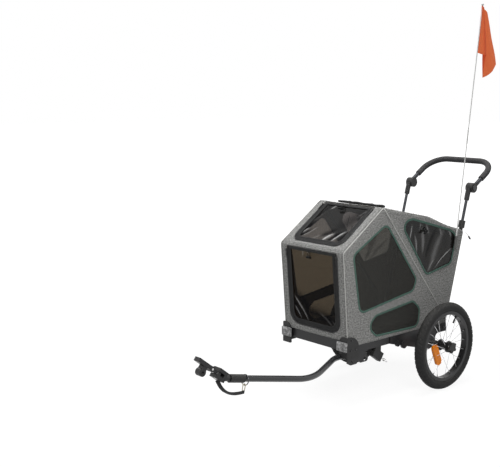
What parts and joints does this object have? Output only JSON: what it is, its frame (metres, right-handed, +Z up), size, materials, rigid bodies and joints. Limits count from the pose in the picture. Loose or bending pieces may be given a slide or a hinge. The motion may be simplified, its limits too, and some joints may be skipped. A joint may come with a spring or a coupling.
{
  "type": "dog bike trailer",
  "caption": "Fabric-covered dog trailer for a bicycle with spoked wheels, mesh and clear windows, zip-open front door and roof hatch, folding push handle, safety flag and side drawbar.",
  "frame": {"origin": "on the ground, in the middle of the whole length and width", "axes": "+X forward towards the hitch, +Y to the left, where the drawbar is, +Z up"},
  "size_m": [1.8606, 0.6266, 1.7271],
  "materials": {
    "tyre_rubber": "matt black rubber with a fine tread",
    "rim_black": "satin black",
    "spoke_steel": "bright drawn wire",
    "hub_black": "satin black",
    "bearing_steel": "ground steel",
    "reflector_orange": "clear prismatic plastic",
    "knob_black": "moulded, fine grain",
    "axle_steel": "zinc plated",
    "frame_black": "black powder coat",
    "floor_black": "moulded sheet",
    "mat_grey": "padded cloth",
    "cloth_grey": "mottled grey woven polyester",
    "flap_black": "black woven polyester",
    "mesh_dark": "fine open mesh",
    "clear_pane": "clear soft sheet with shallow creases",
    "post_steel": "satin",
    "moulded_black": "moulded, fine grain",
    "foam_black": "closed foam",
    "button_grey": "moulded",
    "pole_white": "smooth rod",
    "flag_orange": "thin bright cloth",
    "reflector_clear": "clear prismatic plastic",
    "hitch_black": "black powder coat",
    "pin_steel": "bright plated",
    "tether_steel": "bright plated",
    "webbing_black": "woven webbing"
  },
  "bodies": {
    "chassis": {"axle_tube": "frame_black", "axle_plates": "frame_black", "stub_axles": "axle_steel", "side_rails": "frame_black", "crossbars": "frame_black", "floor_board": "floor_black", "floor_mat": "mat_grey", "side_hoops": "frame_black", "cross_tubes": "frame_black", "rear_posts": "frame_black", "handle_collars": "moulded_black", "left_side_panel": "cloth_grey", "right_side_panel": "cloth_grey", "mesh_windows": "mesh_dark", "rear_windows": "clear_pane", "front_panel": "cloth_grey", "roof_panel": "cloth_grey", "top_panel": "cloth_grey", "rear_panel": "cloth_grey", "flag_pocket": "flap_black", "front_corners": "moulded_black", "front_reflectors": "reflector_clear", "drawbar_socket": "frame_black", "pin_block": "moulded_black", "drawbar": "frame_black", "drawbar_sleeve": "moulded_black", "hitch_fork": "hitch_black", "tether_hardware": "tether_steel", "safety_strap": "webbing_black"},
    "left_wheel": {"left_tyre": "tyre_rubber", "left_rim": "rim_black", "left_hub": "hub_black", "left_bearings": "bearing_steel", "left_spokes": "spoke_steel", "left_spoke_reflector": "reflector_orange"},
    "right_wheel": {"right_tyre": "tyre_rubber", "right_rim": "rim_black", "right_hub": "hub_black", "right_bearings": "bearing_steel", "right_spokes": "spoke_steel", "right_spoke_reflector": "reflector_orange"},
    "left_knob": {"left_release_knob": "knob_black"},
    "right_knob": {"right_release_knob": "knob_black"},
    "uprights": {"handle_rods": "post_steel", "lower_knuckles": "moulded_black"},
    "handle": {"upper_knuckles": "moulded_black", "handle_bar": "post_steel", "handle_grip": "foam_black"},
    "left_button": {"left_tilt_button": "button_grey"},
    "right_button": {"right_tilt_button": "button_grey"},
    "hitch_swivel": {"hitch_swivel": "hitch_black", "hitch_pins": "pin_steel"},
    "hitch_arm": {"hitch_arm": "hitch_black"},
    "release_pin": {"release_pin": "pin_steel"},
    "front_door": {"front_door": "flap_black", "front_door_window": "clear_pane"},
    "roof_hatch": {"roof_hatch": "flap_black", "roof_hatch_window": "clear_pane"},
    "flag": {"flag_pole": "pole_white", "flag": "flag_orange"}
  },
  "joints": [
    {"name": "left_wheel_spin", "type": "hinge", "parent": "chassis", "child": "left_wheel", "pos_m": [-0.45959, 0.265, 0.199], "axis": [0, 1, 0], "continuous": true},
    {"name": "right_wheel_spin", "type": "hinge", "parent": "chassis", "child": "right_wheel", "pos_m": [-0.45959, -0.265, 0.199], "axis": [0, 1, 0], "continuous": true},
    {"name": "left_knob_press", "type": "slide", "parent": "chassis", "child": "left_knob", "axis": [0, -1, 0], "range_m": [0, 0.005], "stiffness_N_per_m": 600},
    {"name": "right_knob_press", "type": "slide", "parent": "chassis", "child": "right_knob", "axis": [0, 1, 0], "range_m": [0, 0.005], "stiffness_N_per_m": 600},
    {"name": "handle_height", "type": "slide", "parent": "chassis", "child": "uprights", "axis": [-0.26, 0, 0.9656], "range_m": [-0.095, 0.12]},
    {"name": "handle_tilt", "type": "hinge", "parent": "uprights", "child": "handle", "pos_m": [-0.74138, 0, 0.8901], "axis": [0, 1, 0], "range_deg": [-60, 60]},
    {"name": "left_tilt_button_press", "type": "slide", "parent": "handle", "child": "left_button", "axis": [0, -1, 0], "range_m": [0, 0.003], "stiffness_N_per_m": 800},
    {"name": "right_tilt_button_press", "type": "slide", "parent": "handle", "child": "right_button", "axis": [0, 1, 0], "range_m": [0, 0.003], "stiffness_N_per_m": 800},
    {"name": "hitch_turn", "type": "hinge", "parent": "chassis", "child": "hitch_swivel", "pos_m": [0.83244, 0.235, 0.32829], "axis": [-0.6157, 0, 0.788], "range_deg": [-45, 45]},
    {"name": "hitch_nod", "type": "hinge", "parent": "hitch_swivel", "child": "hitch_arm", "pos_m": [0.86396, 0.235, 0.35292], "axis": [0, 1, 0], "range_deg": [-25, 25]},
    {"name": "release_pin_pull", "type": "slide", "parent": "chassis", "child": "release_pin", "axis": [-0.8192, 0, -0.5736], "range_m": [0, 0.012], "stiffness_N_per_m": 300, "springref_m": -0.005},
    {"name": "front_door_open", "type": "hinge", "parent": "chassis", "child": "front_door", "pos_m": [0.13256, 0, 0.6722], "axis": [0, -1, 0], "range_deg": [0, 120]},
    {"name": "roof_hatch_open", "type": "hinge", "parent": "chassis", "child": "roof_hatch", "pos_m": [-0.10177, 0, 0.84459], "axis": [0, -1, 0], "range_deg": [0, 110]},
    {"name": "flag_lift", "type": "slide", "parent": "chassis", "child": "flag", "axis": [-0.1288, 0, 0.9917], "range_m": [0, 0.08]}
  ]
}
